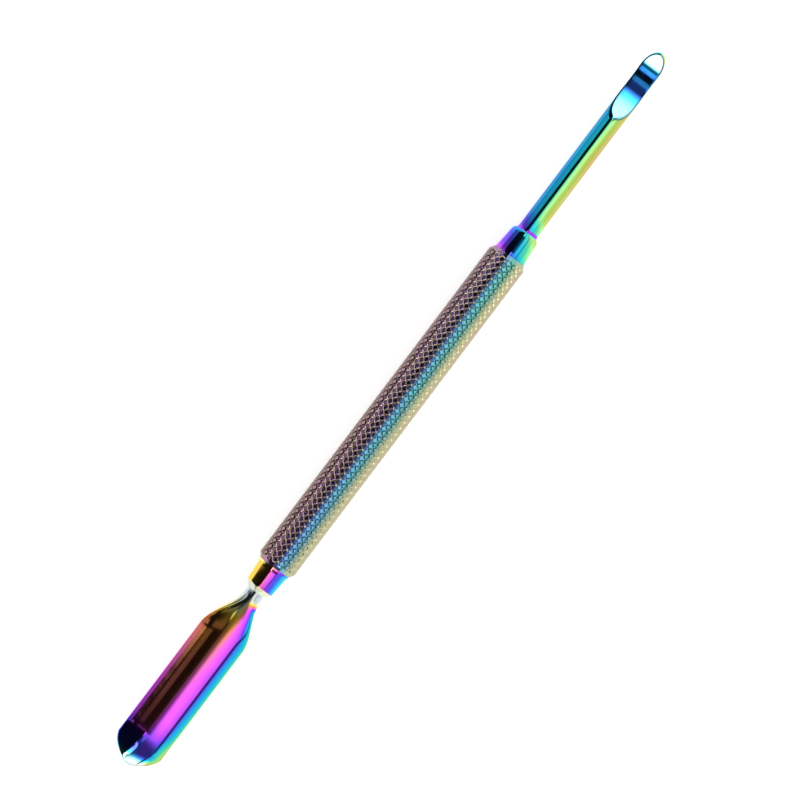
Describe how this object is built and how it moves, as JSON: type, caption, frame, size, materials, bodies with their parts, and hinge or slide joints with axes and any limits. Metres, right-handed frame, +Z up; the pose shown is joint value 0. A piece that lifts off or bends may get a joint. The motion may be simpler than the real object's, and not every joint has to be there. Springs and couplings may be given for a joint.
{
  "type": "cuticle pusher",
  "caption": "Double-ended cuticle pusher: a trough-backed spoon and a hollow-ground scoop blade, each pressed through a tapered collar into a knurled tubular handle.",
  "frame": {"origin": "middle of the tool's length, below the handle's axis, on the surface that the tool lies on", "axes": "+X along the handle towards the scoop blade, +Z up, out of the spoon's back and the blade's ground face, +Y across the spoon"},
  "size_m": [0.146, 0.0086, 0.007],
  "materials": {
    "knurled_film": "diamond-knurled stainless steel with a rainbow titanium film",
    "gold_to_blue_film": "mirror-polished stainless steel, rainbow titanium film from gold through magenta to blue",
    "blue_to_green_film": "mirror-polished stainless steel, rainbow titanium film from purple through blue to green",
    "spoon_film": "mirror-polished stainless steel, rainbow titanium film from orange through magenta to blue",
    "blade_film": "mirror-polished stainless steel, rainbow titanium film from blue through green to yellow"
  },
  "bodies": {
    "root": {"handle_tube": "knurled_film", "spoon_end_collar": "gold_to_blue_film", "blade_end_collar": "blue_to_green_film", "spoon_pusher": "spoon_film", "scoop_blade": "blade_film"}
  },
  "joints": []
}
